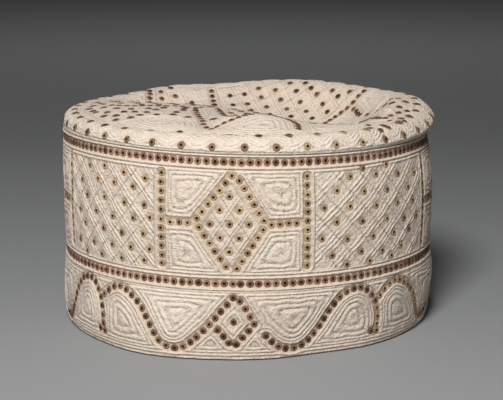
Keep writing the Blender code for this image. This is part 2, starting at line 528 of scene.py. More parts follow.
# How far eyelets and their channels lie below the quilting, and between which distances from a
# row's middle and from an eyelet's middle the quilting rises
SEAT_DEPTH = 0.25
CHANNEL_SIDE = (1.5, 2.2)
SEAT_SIDE = (1.9, 2.8)
HOLE_DEPTH = 1.1
HOLE_WIDTH = 0.95

# How far the thread's colour bleeds from an eyelet and from the middle of a row, and how strongly
BLEED_REACH = 2.9
ROW_BLEED_REACH = 2.2
ROW_BLEED = 0.6

# The cords along the edges of the narrow bands: how high, how far in and how wide they are
PIPING = 0.12
PIPING_PLACE = 0.6
PIPING_WIDTH = 0.5

# The crown is quilted more flatly than the walls, and its eyelets stand up
CROWN_PUFF = 0.54
CROWN_SEAT = 0.05
CROWN_EYELET_RISE = 0.2


def bell(distance, width):
    """1 at no distance, falling away smoothly to about a third at this width."""
    return np.exp(-((distance / width) ** 2))


def lattice_profile(first, second, outer_rib):
    """Double ridges along one way of a lattice, and thin sunk lines along the other."""
    strong, thin = (np.abs((count + 1) % 2) for count in (first, second))
    strong, thin = (np.minimum(part, 2 - part) * LATTICE_UNIT for part in (strong, thin))
    ridges = bell(strong - INNER_RIB_PLACE, RIB_WIDTH)
    ridges += outer_rib * bell(strong - OUTER_RIB_PLACE, RIB_WIDTH)
    ridges *= 1 - RIB_BREAK * bell(thin, RIB_BREAK_WIDTH)
    return ridges - SUNK_DEPTH * bell(thin, SUNK_WIDTH)


def relief(quilting, height, outer_rib, seat_depth):
    """How far quilting of this height lifts the cloth, in millimetres."""
    cords = cord_profile(quilting.lines) * quilting.echo_share * quilting.puff
    outer_rib = outer_rib * quilting.outer_share
    ridges = lattice_profile(quilting.first, quilting.second, outer_rib) * quilting.lattice_share
    channel = 1 - ease(*CHANNEL_SIDE, quilting.bare)
    seat = np.maximum(channel, 1 - ease(*SEAT_SIDE, quilting.eyelet))
    hole = HOLE_DEPTH * bell(quilting.eyelet, HOLE_WIDTH)
    return height * (cords + ridges) * (1 - seat) - seat_depth * seat - hole


def add_attribute(mesh, name, kind, field, values):
    """Keeps these values on the points of a mesh, for its material."""
    attribute = mesh.attributes.new(name, kind, "POINT")
    attribute.data.foreach_set(field, np.asarray(values, np.float32).ravel())


def write_looks(mesh, quilting):
    """Keeps the quilting's measures on the mesh, where the cotton's material reads them."""
    row_stain = np.exp(-((quilting.bare / ROW_BLEED_REACH) ** 4))
    stained = bell(quilting.eyelet, BLEED_REACH) + ROW_BLEED * row_stain
    for name, columns in (
        ("quilt", (quilting.lines, quilting.along, quilting.echo_share)),
        ("lattice", (quilting.first, quilting.second, quilting.lattice_share)),
        ("marks", (np.clip(stained, 0, 1), quilting.outer_share, quilting.puff)),
    ):
        add_attribute(mesh, name, "FLOAT_VECTOR", "vector", np.stack(columns, axis=1))


def read_points(mesh):
    """The places of a mesh's points, in its own units."""
    points = np.empty(len(mesh.vertices) * 3, np.float32)
    mesh.vertices.foreach_get("co", points)
    return points.reshape(-1, 3).astype(float)


def move_points(mesh, points):
    """Moves a mesh's points to these places in millimetres."""
    mesh.vertices.foreach_set("co", (points * MM).astype(np.float32).ravel())
    mesh.update()


def take_mesh(builder, name):
    """The finished mesh of a builder, which is freed."""
    mesh = bpy.data.meshes.new(name)
    builder.to_mesh(mesh)
    builder.free()
    return mesh


def add_object(name, mesh, material):
    """Puts a mesh of this material into the scene."""
    piece = bpy.data.objects.new(name, mesh)
    mesh.materials.append(material)
    mesh.shade_smooth()
    bpy.context.scene.collection.objects.link(piece)
    return piece


# Places nearer than this to each other are the same one
SAME_PLACE = 0.01


def spin_round(builder, profile, steps, closed=False):
    """Spins a line of places, each a radius and a height, once round the upright axis."""
    vertices = [builder.verts.new((radius, 0, height)) for radius, height in profile]
    ends = (*vertices[1:], vertices[0]) if closed else vertices[1:]
    edges = [builder.edges.new(pair) for pair in zip(vertices, ends)]
    bmesh.ops.spin(
        builder,
        geom=vertices + edges,
        cent=(0, 0, 0),
        axis=(0, 0, 1),
        angle=2 * pi,
        steps=steps,
        use_merge=True,
        use_duplicate=False,
    )
    bmesh.ops.remove_doubles(builder, verts=builder.verts, dist=SAME_PLACE)


# Before a ring of cloth is laid on its true shape, it is a plain ring of this radius. It is spun in
# wide columns, each then split into so many, and its inner side has only so many rows.
PLAIN_RADIUS = 100
SPLITS = 8
INNER_ROWS = 4


def make_wall_piece(
    name, low, high, rows, pattern, cloth, material, columns=1040, piping=0.0, tuck=EDGE_ROUND
):
    """A ring of cloth between two heights: a closely divided outer side and a plain inner one.

    Piping is how far the cords along its edges stand up, and tuck how far its lower edge turns
    under.
    """
    builder = bmesh.new()
    profile = [(PLAIN_RADIUS, height) for height in np.linspace(high, low, rows + 1)]
    profile += [(PLAIN_RADIUS - CLOTH, height) for height in np.linspace(low, high, INNER_ROWS + 1)]
    spin_round(builder, profile, columns // SPLITS, closed=True)
    bmesh.ops.recalc_face_normals(builder, faces=builder.faces)
    round_edges = []
    for edge in builder.edges:
        start, end = (vertex.co for vertex in edge.verts)
        if max(abs(start.z - end.z), abs(start.xy.length - end.xy.length)) < SAME_PLACE:
            round_edges.append(edge)
    bmesh.ops.subdivide_edges(builder, edges=round_edges, cuts=SPLITS - 1, use_grid_fill=True)
    mesh = take_mesh(builder, name)
    points = read_points(mesh)
    angle = np.degrees(np.arctan2(points[:, 0], -points[:, 1]))
    height = points[:, 2]
    outer = np.hypot(points[:, 0], points[:, 1]) > PLAIN_RADIUS - CLOTH / 2
    place, _, _, out = wall_surface(angle, height)
    from_first = (angle - FIRST_ANGLE) % 360 + FIRST_ANGLE
    quilting = quilt(pattern, np.stack((from_first * DEGREE, height), axis=1), place, cloth)
    lifted = relief(quilting, cloth.cord_height / MM, OUTER_RIB, SEAT_DEPTH)
    from_edge = np.minimum(height - low, high - height)
    lifted += piping * bell(from_edge - PIPING_PLACE, PIPING_WIDTH)
    turned = edge_turn(height - low, tuck) + edge_turn(high - height, EDGE_ROUND)
    lift = np.where(outer, lifted - turned, -CLOTH)
    move_points(mesh, place + out * lift[:, None])
    write_looks(mesh, quilting)
    return add_object(name, mesh, material)


def edge_turn(from_edge, radius):
    """How far the outer side turns in this near to a sewn edge, like the edge of folded cloth."""
    part = 1 - np.clip(from_edge / radius, 0, 1)
    return radius * (1 - np.sqrt(1 - part**2))


def make_crown_piece(name, pattern, cloth, material, divisions=300, inner_divisions=56):
    """The padded disc: two squares of cloth drawn out to discs, joined round their edges."""
    builder = bmesh.new()
    for count, height in ((divisions, 0), (inner_divisions, -1)):
        level = Matrix.Translation((0, 0, height))
        bmesh.ops.create_grid(builder, x_segments=count, y_segments=count, size=1, matrix=level)
    bmesh.ops.bridge_loops(builder, edges=[edge for edge in builder.edges if edge.is_boundary])
    bmesh.ops.recalc_face_normals(builder, faces=builder.faces)
    mesh = take_mesh(builder, name)
    points = read_points(mesh)
    outer = points[:, 2] > -0.5
    disc = square_to_disc(points[:, 0], points[:, 1]) * CROWN_REACH
    place, _, _, out = crown_surface(disc[:, 0], disc[:, 1])
    quilting = quilt(pattern, disc, place, cloth)
    from_edge = CROWN_REACH - np.hypot(disc[:, 0], disc[:, 1])
    lifted = relief(quilting, CROWN_PUFF * cloth.cord_height / MM, CROWN_OUTER_RIB, CROWN_SEAT)
    lift = np.where(outer, lifted - edge_turn(from_edge, EDGE_ROUND), -CLOTH)
    move_points(mesh, place + out * lift[:, None])
    write_looks(mesh, quilting)
    return add_object(name, mesh, material)


def square_to_disc(a, b):
    """Draws a square out to a disc, each ring of the square to a ring of the disc."""
    wide = np.abs(a) > np.abs(b)
    reach = np.where(wide, a, b)
    safe = np.where(reach == 0, 1, reach)
    turn = np.where(wide, pi / 4 * b / safe, pi / 2 - pi / 4 * a / safe)
    return np.stack((reach * np.cos(turn), reach * np.sin(turn)), axis=1)


# An eyelet from its foot to its hole: shares of its radius, and millimetres above the cloth
EYELET_PROFILE = ((1, -0.36), (0.74, 0.14), (0.44, 0.08), (0.28, 0.0))

# How far eyelets are set into the cloth, and how far they stray from their true places
EYELET_SUNK = 0.1
EYELET_STRAY = 0.12


def eyelet_shape(radius):
    """One eyelet: a round ring of thread that falls away to a foot outside and into its hole."""
    builder = bmesh.new()
    spin_round(builder, [(radius * share, height) for share, height in EYELET_PROFILE], steps=10)
    borders = [edge for edge in builder.edges if edge.is_boundary]
    hole = [edge for edge in borders if edge.verts[0].co.xy.length < radius / 2]
    bmesh.ops.holes_fill(builder, edges=hole, sides=0)
    bmesh.ops.recalc_face_normals(builder, faces=builder.faces)
    if sum(face.normal.z for face in builder.faces) < 0:
        bmesh.ops.reverse_faces(builder, faces=builder.faces)
    return take_mesh(builder, "eyelet_shape")


def sew_eyelets(name, pattern, surface_at, eyelets, seed, rise=0.0):
    """All the eyelets of one cloth as one mesh, each turned, sized and dyed a little apart."""
    chance = np.random.default_rng(seed)
    outer_radius = eyelets.outer_radius / MM
    shape = eyelet_shape(outer_radius)
    template = read_points(shape)
    corners = np.empty(len(shape.loops), np.int32)
    shape.loops.foreach_get("vertex_index", corners)
    sides = np.empty(len(shape.polygons), np.int32)
    shape.polygons.foreach_get("loop_total", sides)
    bpy.data.meshes.remove(shape)

    count = len(pattern.eyelets)
    threads = [THREADS[eyelet.thread] for eyelet in pattern.eyelets]
    a, b = np.array([(eyelet.a, eyelet.b) for eyelet in pattern.eyelets]).T
    a = a + chance.normal(0, EYELET_STRAY, count)
    b = b + chance.normal(0, EYELET_STRAY, count)
    place, along, up, out = surface_at(a, b)
    size = chance.uniform(0.93, 1.07, count) * [thread.size for thread in threads]
    turn = chance.uniform(0, 2 * pi, count)[:, None]
    oval = chance.uniform(0.92, 1.08, count)[:, None]
    spun_a = (template[:, 0] * np.cos(turn) - template[:, 1] * np.sin(turn)) * oval
    spun_b = (template[:, 0] * np.sin(turn) + template[:, 1] * np.cos(turn)) / oval
    points = place[:, None] + size[:, None, None] * (
        spun_a[..., None] * along[:, None]
        + spun_b[..., None] * up[:, None]
        + (template[:, 2] - EYELET_SUNK + rise)[None, :, None] * out[:, None]
    )

    mesh = bpy.data.meshes.new(name)
    mesh.vertices.add(count * len(template))
    mesh.loops.add(count * len(corners))
    mesh.polygons.add(count * len(sides))
    shift = np.arange(count)[:, None] * len(template)
    mesh.loops.foreach_set("vertex_index", (corners[None] + shift).ravel().astype(np.int32))
    starts = np.r_[0, np.cumsum(np.tile(sides, count))[:-1]]
    mesh.polygons.foreach_set("loop_start", starts.astype(np.int32))
    move_points(mesh, points.reshape(-1, 3))
    mesh.update(calc_edges=True)

    dyes = [linear(thread.shades[chance.integers(len(thread.shades))]) for thread in threads]
    dyes = np.array(dyes) * chance.uniform(0.85, 1.15, count)[:, None]
    colours = np.ones((count, len(template), 4))
    colours[..., :3] = dyes[:, None]
    add_attribute(mesh, "thread", "FLOAT_COLOR", "color", colours)
    ring = np.hypot(template[:, 0], template[:, 1]) / outer_radius
    add_attribute(mesh, "across", "FLOAT", "value", np.tile(ring, count))
    stitch_map = mesh.uv_layers.new(name="stitches")
    uv = template[corners][:, :2] / (2 * outer_radius) + 0.5
    stitch_map.data.foreach_set("uv", np.tile(uv.astype(np.float32), (count, 1)).ravel())
    return add_object(name, mesh, eyelet_thread())


# Dyed cotton threads. Old thread fades unevenly, so each kind has a few shades. The rings of the
# heavier threads are a little larger.
Thread = namedtuple("Thread", "shades size")
THREADS = {
    "red_brown": Thread(("98715d", "896552", "a47e69", "7e5a49"), 1.07),
    "hem": Thread(("93705c", "83634f", "9f7d68", "785846"), 1.0),
    "brown": Thread(("98785f", "8a6b54", "a4846b"), 1.02),
    "dark": Thread(("866a57", "755b4a", "8f7261", "69503f", "7d6353"), 1.12),
    "rear": Thread(("866a57", "755b4a", "8f7261", "69503f", "7d6353"), 0.88),
    "crown_row": Thread(("8a6755", "7c5d4f", "967563", "6e5144"), 0.92),
    "tan": Thread(("c1a27b", "b49673", "c8ad88", "a88b6d"), 0.98),
    "mixed": Thread(("c8a983", "bfa985", "b89f82", "caaa86", "b09076", "b8a584"), 1.06),
}

# The eyelets of the two kinds of lattice panel, a little uneven as on hand work: how far across
# the panel each one is, and its height
LEFT_SPOTS = (
    (0.316, 84.2), (0.496, 85.2), (0.684, 83.7), (0.872, 82.3), (0.207, 76.5), (0.419, 78.9),
    (0.598, 78.5), (0.773, 77.8), (0.277, 70.0), (0.496, 71.1), (0.694, 70.3), (0.867, 70.3),
    (0.166, 62.4), (0.395, 63.6), (0.578, 63.0), (0.776, 63.9), (0.913, 64.7), (0.243, 56.4),
    (0.477, 56.4), (0.667, 56.0), (0.855, 57.1), (0.140, 47.4), (0.352, 48.5), (0.566, 49.5),
    (0.745, 49.8), (0.906, 50.2), (0.246, 42.9), (0.443, 43.5), (0.658, 43.8), (0.855, 44.5),
)  # fmt: skip
RIGHT_SPOTS = (
    (0.280, 84.2), (0.374, 87.5), (0.475, 83.8), (0.572, 87.5), (0.677, 81.9), (0.185, 78.2),
    (0.379, 76.5), (0.566, 75.6), (0.782, 74.1), (0.877, 80.2), (0.103, 70.8), (0.276, 70.2),
    (0.471, 68.8), (0.663, 68.0), (0.840, 66.9), (0.183, 63.3), (0.362, 62.4), (0.566, 61.4),
    (0.737, 59.5), (0.091, 56.2), (0.259, 54.9), (0.451, 54.3), (0.634, 53.9), (0.802, 53.7),
    (0.897, 58.6), (0.158, 47.7), (0.360, 47.9), (0.533, 46.4), (0.716, 46.4), (0.259, 42.8),
    (0.430, 42.5), (0.619, 42.9),
)  # fmt: skip

# Each kind of lattice panel: where one eyelet of its lattice is, and half the ways to the next
LatticeKind = namedtuple("LatticeKind", "spots origin half_a half_b lean")
LATTICE_KINDS = {
    "left": LatticeKind(LEFT_SPOTS, (0.579, 63.4), (0.0475, 3.45), (0.0475, -3.45), lean=1),
    "right": LatticeKind(RIGHT_SPOTS, (0.471, 68.8), (0.0472, 3.25), (0.0472, -3.85), lean=-1),
}

# The wall's panels, by their first and last directions. Close columns of eyelets stand between
# them.
Panel = namedtuple("Panel", "kind start end")
PANEL_KINDS = ("left", "diamond", "right", "diamond") * 2
PANEL_EDGES = (FIRST_ANGLE, -24.3, 17.8, 66.4, 111.0, 157.5, 202.0, 249.0, FIRST_ANGLE + 360)
PANELS = tuple(map(Panel, PANEL_KINDS, PANEL_EDGES, PANEL_EDGES[1:]))
PANEL_TOP = 88.6
PANEL_FOOT = 40.2
COLUMN_TOP = 85.8
COLUMN_FOOT = 44.3

# A panel's lattice ends this far from the columns, and at these heights
LATTICE_MARGIN = 3.4
LATTICE_TOP = 87.4
LATTICE_FOOT = 41.4

# The rows of a diamond panel, from the panel's middle, in millimetres along the cloth and above
# the table. The diamond stays open at its foot. A seam joins each of its sides to a column.
DIAMOND_ROWS = (
    ((-0.7, 86.2), (-17.0, 66.4)),
    ((-15.8, 62.3), (-3.5, 44.4)),
    ((2.8, 84.0), (13.9, 66.0)),
    ((13.5, 61.6), (1.7, 43.6)),
    ((-29.4, 64.0), (-21.0, 64.2)),
    ((17.4, 64.0), (29.0, 64.4)),
)
DIAMOND_SIDES = (-17.0, 14.0)
DIAMOND_SIDE_HEIGHT = 64.2
DIAMOND_OUTLINE = ((-1.0, 83.5), (13.0, 64.0), (-0.9, 44.8), (-14.8, 64.2))
DIAMOND_GRID_MIDDLE = (-1.7, 64.1)
DIAMOND_HALVES = np.array([(2.2, 3.17), (2.2, -3.17)])


def once_round(height):
    """A level line once round the wall."""
    first = FIRST_ANGLE * DEGREE
    return [(first, height), (first + ROUND, height)]


def wall_pattern(spacing):
    """The side wall: columns of eyelets between lattice panels and diamond panels."""
    pattern = Pattern(around=ROUND)
    for edge in (PANEL_TOP, PANEL_FOOT):
        pattern.add_seam(once_round(edge), 0)
    for panel in PANELS:
        column = panel.start * DEGREE
        pattern.sew_row([(column, COLUMN_TOP), (column, COLUMN_FOOT)], "tan", spacing)
        if panel.kind == "diamond":
            add_diamond_panel(pattern, panel, spacing)
        else:
            add_lattice_panel(pattern, panel)
    return pattern


def add_diamond_panel(pattern, panel, spacing):
    """A diamond of close rows round nine eyelets, tied to the columns on both sides."""
    middle = np.array([(panel.start + panel.end) / 2 * DEGREE, 0])
    for row in DIAMOND_ROWS:
        pattern.sew_row(middle + row, "tan", spacing)
    for side, column in zip(DIAMOND_SIDES, (panel.start, panel.end)):
        ends = [(a, DIAMOND_SIDE_HEIGHT) for a in (column * DEGREE, middle[0] + side)]
        pattern.add_seam(ends, CHANNEL)
    outline = middle + DIAMOND_OUTLINE
    pattern.add_seam([*outline, outline[0]], 0)
    origin = middle + DIAMOND_GRID_MIDDLE
    half_a, half_b = DIAMOND_HALVES
    inside = partial(within, outline=outline)
    pattern.lattices.append(Lattice(origin, half_a, half_b, inside, lean=-1))
    for step_a in range(-1, 2):
        for step_b in range(-1, 2):
            pattern.add_eyelet(*(origin + 2 * step_a * half_a + 2 * step_b * half_b), "mixed")


def add_lattice_panel(pattern, panel):
    """Staggered rows of eyelets with quilting lines between them, leaning one way."""
    start, end = panel.start * DEGREE, panel.end * DEGREE
    kind = LATTICE_KINDS[panel.kind]
    scale = (end - start, 1)

    def inside(points):
        a, b = points.T
        across = (a > start + LATTICE_MARGIN) & (a < end - LATTICE_MARGIN)
        return across & (b > LATTICE_FOOT) & (b < LATTICE_TOP)

    origin = np.multiply(kind.origin, scale) + (start, 0)
    half_a, half_b = np.multiply(kind.half_a, scale), np.multiply(kind.half_b, scale)
    pattern.lattices.append(Lattice(origin, half_a, half_b, inside, kind.lean))
    for a, b in np.multiply(kind.spots, scale) + (start, 0):
        pattern.add_eyelet(a, b, "mixed")


# The hem's pattern for one quarter: degrees from the middle of its small diamond, and heights.
# The left part of the wave starts where its arch meets a stem and ends as the diamond's upper left
# side, and the right part ends down the next stem. Each reaches over its span.
WAVE_LEFT = (
    (-42.8, 24.8), (-41.4, 27.2), (-37.8, 30.1), (-35.1, 30.3), (-31.0, 27.4), (-27.4, 22.4),
    (-24.6, 15.8), (-22.1, 8.9), (-20.4, 6.7), (-18.1, 5.6), (-15.8, 5.8), (-13.6, 7.3),
    (-9.8, 12.6), (-6.4, 18.0), (-3.4, 24.0), (0.0, 30.0),
)  # fmt: skip
WAVE_RIGHT = (
    (9.2, 11.8), (10.8, 9.0), (12.8, 6.5), (15.3, 5.0), (17.9, 4.7), (20.6, 5.9), (22.6, 8.1),
    (25.9, 14.2), (28.8, 21.9), (32.1, 28.1), (36.1, 30.6), (38.4, 30.7), (40.8, 29.2),
    (42.8, 26.6), (44.6, 22.8), (45.4, 19.1), (46.0, 15.2), (46.0, 10.8),
)  # fmt: skip
LEFT_SPAN = 43.1
RIGHT_SPAN = 46.0
SMALL_DIAMOND = (((1.9, 28.6), (6.0, 18.1), (0.8, 8.0)), ((-4.5, 14.8), (-1.3, 8.7)))
SMALL_DIAMOND_MIDDLE = 18.8
HEM_TOP = 32.2
HEM_LINE = 3.7

# Two eyelets at the foot of each stem: millimetres from it, and heights
STEM_FOOT = ((-3.0, 7.8), (0.6, 7.2))

# Between these directions the hem's thread has faded
FADED_FROM = 42.0
FADED_TO = 72.0


def hem_pattern(spacing):
    """The hem band: waves that rise into arches over stems, and a small diamond in each quarter."""
    pattern = Pattern(around=ROUND)
    for edge in (HEM_TOP, HEM_LINE, 0):
        pattern.add_seam(once_round(edge), 0)
    middles = [(panel.start + panel.end) / 2 for panel in PANELS if panel.kind == "diamond"]
    befores = (middles[-1] - 360, *middles)
    afters = (*middles[1:], middles[0] + 360)
    for middle, before, after in zip(middles, befores, afters):
        left = (middle - before) / 2 / LEFT_SPAN
        right = (after - middle) / 2 / RIGHT_SPAN
        for wave, widening in ((WAVE_LEFT, left), (WAVE_RIGHT, right)):
            line = [((middle + offset * widening) * DEGREE, height) for offset, height in wave]
            pattern.sew_row(smooth_line(line, steps=4), "hem", spacing)
        for side in SMALL_DIAMOND:
            corners = [((middle + offset) * DEGREE, height) for offset, height in side]
            pattern.sew_row(corners, "hem", spacing)
        pattern.add_eyelet(middle * DEGREE, SMALL_DIAMOND_MIDDLE, "hem")
        stem = (after + middle) / 2 * DEGREE
        for away, height in STEM_FOOT:
            pattern.add_eyelet(stem + away, height, "hem")
    pattern.eyelets = [
        eyelet._replace(thread="tan") if FADED_FROM < eyelet.a / DEGREE < FADED_TO else eyelet
        for eyelet in pattern.eyelets
    ]
    return pattern


# The direction of the first eyelet in each narrow band, and the bare strip on each side of the row
BAND_START = -3.5
BAND_CHANNEL = 1.9


def band_pattern(middle, count):
    """A narrow band: one close row of eyelets all the way round."""
    pattern = Pattern(around=ROUND)
    for step in range(count):
        angle = (BAND_START - FIRST_ANGLE + 360 * step / count) % 360 + FIRST_ANGLE
        pattern.add_eyelet(angle * DEGREE, middle, "red_brown")
    pattern.add_seam(once_round(middle), BAND_CHANNEL)
    return pattern


# The crown's rim has this many scallops, with an eyelet in each and one between each two. Lengths
# go from the middle of the crown, and angles round it in degrees.
SCALLOPS = 40
SCALLOP_STEP = 360 // SCALLOPS
SCALLOP_REACH = 90.2
SCALLOP_DEPTH = 1.8
RIM_SEAM = 81.0
RimRing = namedtuple("RimRing", "reach turn thread dip")
RIM_RINGS = (
    RimRing(93.6, 0, "brown", dip=()),
    RimRing(86.0, 4.5, "dark", dip=(Swell(-24, 14, 9),)),
)
RING_START = -0.2

# Between these directions the rings' thread has faded
RING_FADED_FROM = 14
RING_FADED_TO = 44

# The crown's close rows of eyelets, each with its spacing and its course, in millimetres along the
# cloth from the middle of the crown. Where the crown is pushed in, rows are sewn more widely.
CROWN_ROWS = (
    (3.6, ((-15.8, -64.5), (-12.5, -61.2), (-9.4, -59.6), (-4.8, -57.6), (1, -53.8), (7, -51.4),
      (13, -50.2), (18, -50.8))),
    (3.6, ((20.8, -52.6), (23, -55.6), (24.4, -60), (25, -67.2))),
    (5.2, ((-15.8, -64.5), (-19.4, -56), (-20.4, -46.4), (-22, -39), (-23.6, -29),
      (-24.8, -16.4))),
    (5.4, ((-24.8, -12), (-21, -6.6), (-14.8, -1))),
    (5.6, ((-14, -9), (-12.4, -18), (-10.8, -28), (-8.8, -35.8))),
    (4.2, ((-29, -12), (-33, -8), (-40, -9.6), (-49.6, -9), (-57, -11.4), (-67, -8))),
    (3.6, ((-52.8, 64), (-52.4, 56.2), (-50, 42), (-44, 30), (-34, 20), (-24, 10), (-14.8, -1))),
    (3.9, ((-19.2, 72), (-18.2, 65.2), (-16.6, 58.6), (-14, 50), (-8, 38), (0, 27), (8, 18))),
    (3.3, ((63.4, 49.4), (57.3, 46.8), (49.6, 46.4), (44, 43.6), (38, 39.4), (31, 34), (22, 28),
      (8, 18))),
    (3.5, ((57.4, 42), (58.8, 37.4), (60, 31.6))),
    (9.0, ((63.2, 23.8), (63.8, 19))),
    (7.0, ((8, 18), (22, 13), (34, 10), (46, 9.6), (56, 15), (59.6, 8), (61.4, -4), (62, -15))),
    (3.0, ((63, -21), (63.8, -26), (65.2, -32.4), (67.6, -33))),
    (4.8, ((70.6, -29.6), (74.8, -25.6), (79.4, -21.8))),
)  # fmt: skip

# Single eyelets in dark thread, and smaller ones at the right end and on the rear lattice
NEAR_SPOTS = (
    (-77.2, 0), (-70.4, -13), (-63.2, -20.4), (-56, -22.2), (-43.6, -23.4), (-40.4, -17),
    (-67.2, -27.6), (-73.6, -22.4), (-59, -30.4), (-47.6, -31), (-33.6, -28.6), (-30.4, -22.4),
    (-62, -36.8), (-68.4, -34), (-50.4, -38.4), (-54.4, -43.4), (-61.6, -44.2), (-34.8, -35.4),
    (-27.4, -40.6), (-14.8, -46.4), (31.9, -46.9), (40.4, -45),
)  # fmt: skip
FAR_SPOTS = (
    (51.3, -41.3), (69.1, -39.4), (72.4, -47), (76, -42), (78.8, -30.4), (57.8, -62), (63, -62.6),
    (67, -57), (64, -52.4), (58, -49),
    (-46.8, 64.4), (-46, 59.6), (-45.6, 54.8), (-38.8, 63.4), (-37.8, 57.6), (-29.6, 61.4),
    (-22.6, 57.6), (-8.9, 69.7), (-7.2, 61.8), (-0.8, 71.2), (0.6, 63.4), (2.8, 57.8), (6.9, 75),
    (8.4, 69), (11.3, 61.9), (13, 55.2), (16.1, 72.5), (19, 66.8), (22.2, 60.4), (24.4, 54.2),
    (24.4, 76), (27.6, 69.8), (29.6, 63.6), (32.8, 57.6), (35.7, 50.7), (32.8, 73.6),
    (35.8, 68.6), (38.8, 64), (41.6, 58), (43.8, 52.4), (47.2, 62), (49.9, 56.7), (56.1, 55.3),
)  # fmt: skip

# Seams without eyelets: leaves at the front, the left and the right, and a crease on the right
CROWN_LEAVES = (
    ((-15.8, -65.5), (-8, -75), (5, -78.5), (18, -76.5), (25.2, -70)),
    ((-58, -50), (-50, -42), (-38, -40), (-26, -46), (-20, -58), (-26, -66), (-38, -68),
     (-50, -62), (-58, -50)),
    ((63, 51), (71, 38), (74, 24), (68, 18), (62.6, 25)),
    ((61, -22), (65.5, -6), (70.5, -5), (77, -11)),
)  # fmt: skip


def rim_line(reach, step, depth=0.0):
    """A circle round the middle of the crown, scalloped to this depth."""
    angles = np.radians(np.arange(0, 360.01, step))
    reach = reach - depth * np.cos(angles * SCALLOPS)
    return np.stack((reach * np.sin(angles), -reach * np.cos(angles)), axis=1)


def crown_pattern():
    """The crown: two rings of eyelets on its rim at scallops, then leaves, kites and lattices."""
    pattern = Pattern()
    for reach in (CROWN_REACH, RIM_SEAM):
        pattern.add_seam(rim_line(reach, step=1.0), 0)
    pattern.add_seam(rim_line(SCALLOP_REACH, step=0.5, depth=SCALLOP_DEPTH), 0)
    for step in range(SCALLOPS):
        for ring in RIM_RINGS:
            turn = step * SCALLOP_STEP + ring.turn
            angle = radians(turn + RING_START)
            reach = ring.reach - swell_at(ring.dip, float(step * SCALLOP_STEP))
            thread = "tan" if RING_FADED_FROM < turn < RING_FADED_TO else ring.thread
            pattern.add_eyelet(reach * np.sin(angle), -reach * np.cos(angle), thread)
    for spacing, points in CROWN_ROWS:
        pattern.sew_row(smooth_line(points, steps=5), "crown_row", spacing)
    for points in CROWN_LEAVES:
        pattern.add_seam(smooth_line(points, steps=5), 0)
    for spots, thread in ((NEAR_SPOTS, "dark"), (FAR_SPOTS, "rear")):
        for a, b in spots:
            pattern.add_eyelet(a, b, thread)
    add_crown_lattices(pattern)
    return pattern


# No lattice eyelet of the crown stands nearer than this to another eyelet, and a lattice has at
# most this many eyelets each way from its first
CROWN_CLEAR = 4.6
CROWN_STEPS = 14

Zone = namedtuple("Zone", "outline origin half_a half_b lean")
CROWN_ZONES = (
    Zone(
        outline=((-17, 74), (-14, 60), (-8, 45), (4, 28), (10, 22), (24, 33), (40, 47), (52, 51),
            (62, 54), (52, 66), (38, 74), (20, 80), (0, 80)),
        origin=(22.0, 61.0), half_a=(1.4, -3.35), half_b=(4.2, 1.5), lean=-1,
    ),
    Zone(
        outline=((-80, 5), (-80, -16), (-74, -32), (-66, -46), (-58, -47), (-50, -39), (-38, -37),
            (-27, -41), (-27, -8), (-18, 4), (-36, 18), (-47, 30), (-54, 44), (-66, 42),
            (-76, 24)),
        origin=(-56.0, -22.0), half_a=(4.3, 0.9), half_b=(-1.2, 4.1), lean=1,
    ),
    Zone(
        outline=((-50, 68), (-49, 54), (-46, 40), (-40, 30), (-32, 23), (-14, 5), (4, 18),
            (-6, 32), (-13, 44), (-17, 52), (-20, 60), (-22, 74), (-36, 72)),
        origin=(-38.0, 62.0), half_a=(3.9, 1.8), half_b=(-1.8, 3.9), lean=1,
    ),
    Zone(
        outline=((74, -50), (80, -20), (81, 0), (78, 14), (70, 15), (66, 8), (68, -8), (73, -24),
            (74, -38), (70, -50)),
        origin=(79.0, -25.5), half_a=(3.6, 1.9), half_b=(-1.5, 4.0), lean=1,
    ),
    Zone(
        outline=((-9, -4), (-7, -30), (-9, -44), (-6, -54), (10, -50), (22, -48), (30, -44),
            (44, -40), (58, -30), (59, -10), (56, 4), (38, 4), (20, 7), (6, 13)),
        origin=(20.0, -20.0), half_a=(4.0, 1.6), half_b=(-1.6, 4.0), lean=1,
    ),
)  # fmt: skip


def add_crown_lattices(pattern):
    """Fills the crown's fields with lattices. Their eyelets leave out places already taken."""
    for zone in CROWN_ZONES:
        outline = np.array(zone.outline, float)
        inside = partial(within, outline=outline)
        origin, half_a, half_b = (np.array(way) for way in (zone.origin, zone.half_a, zone.half_b))
        pattern.lattices.append(Lattice(origin, half_a, half_b, inside, zone.lean))
        reach = range(-CROWN_STEPS, CROWN_STEPS + 1)
        spots = np.array([origin + 2 * a * half_a + 2 * b * half_b for a in reach for b in reach])
        taken = np.array([(eyelet.a, eyelet.b) for eyelet in pattern.eyelets])
        for a, b in spots[inside(spots)]:
            if np.hypot(taken[:, 0] - a, taken[:, 1] - b).min() > CROWN_CLEAR:
                pattern.add_eyelet(a, b, "rear" if b > 0 else "dark")


def within(points, outline):
    """Whether each point lies inside a closed outline."""
    inside = np.zeros(len(points), bool)
    for (a, b), (next_a, next_b) in zip(outline, np.roll(outline, -1, axis=0)):
        crosses = (b > points[:, 1]) != (next_b > points[:, 1])
        rise = next_b - b if next_b != b else 1e-9
        at = a + (points[:, 1] - b) / rise * (next_a - a)
        inside ^= crosses & (points[:, 0] < at)
    return inside


def add_node(tree, kind, *values, inputs=None, out=0, **settings):
    """Adds a node with its settings and links, and gives one of its outputs, if it has any.

    Values go to its first sockets in order, and inputs to those that they name or number. Each is
    a plain value or another node's output.
    """
    node = tree.nodes.new(f"ShaderNode{kind}")
    for name, value in settings.items():
        setattr(node, name, value)
    for socket, value in (*enumerate(values), *(inputs or {}).items()):
        if isinstance(value, bpy.types.NodeSocket):
            tree.links.new(value, node.inputs[socket])
        else:
            node.inputs[socket].default_value = value
    return node.outputs[out] if node.outputs else node


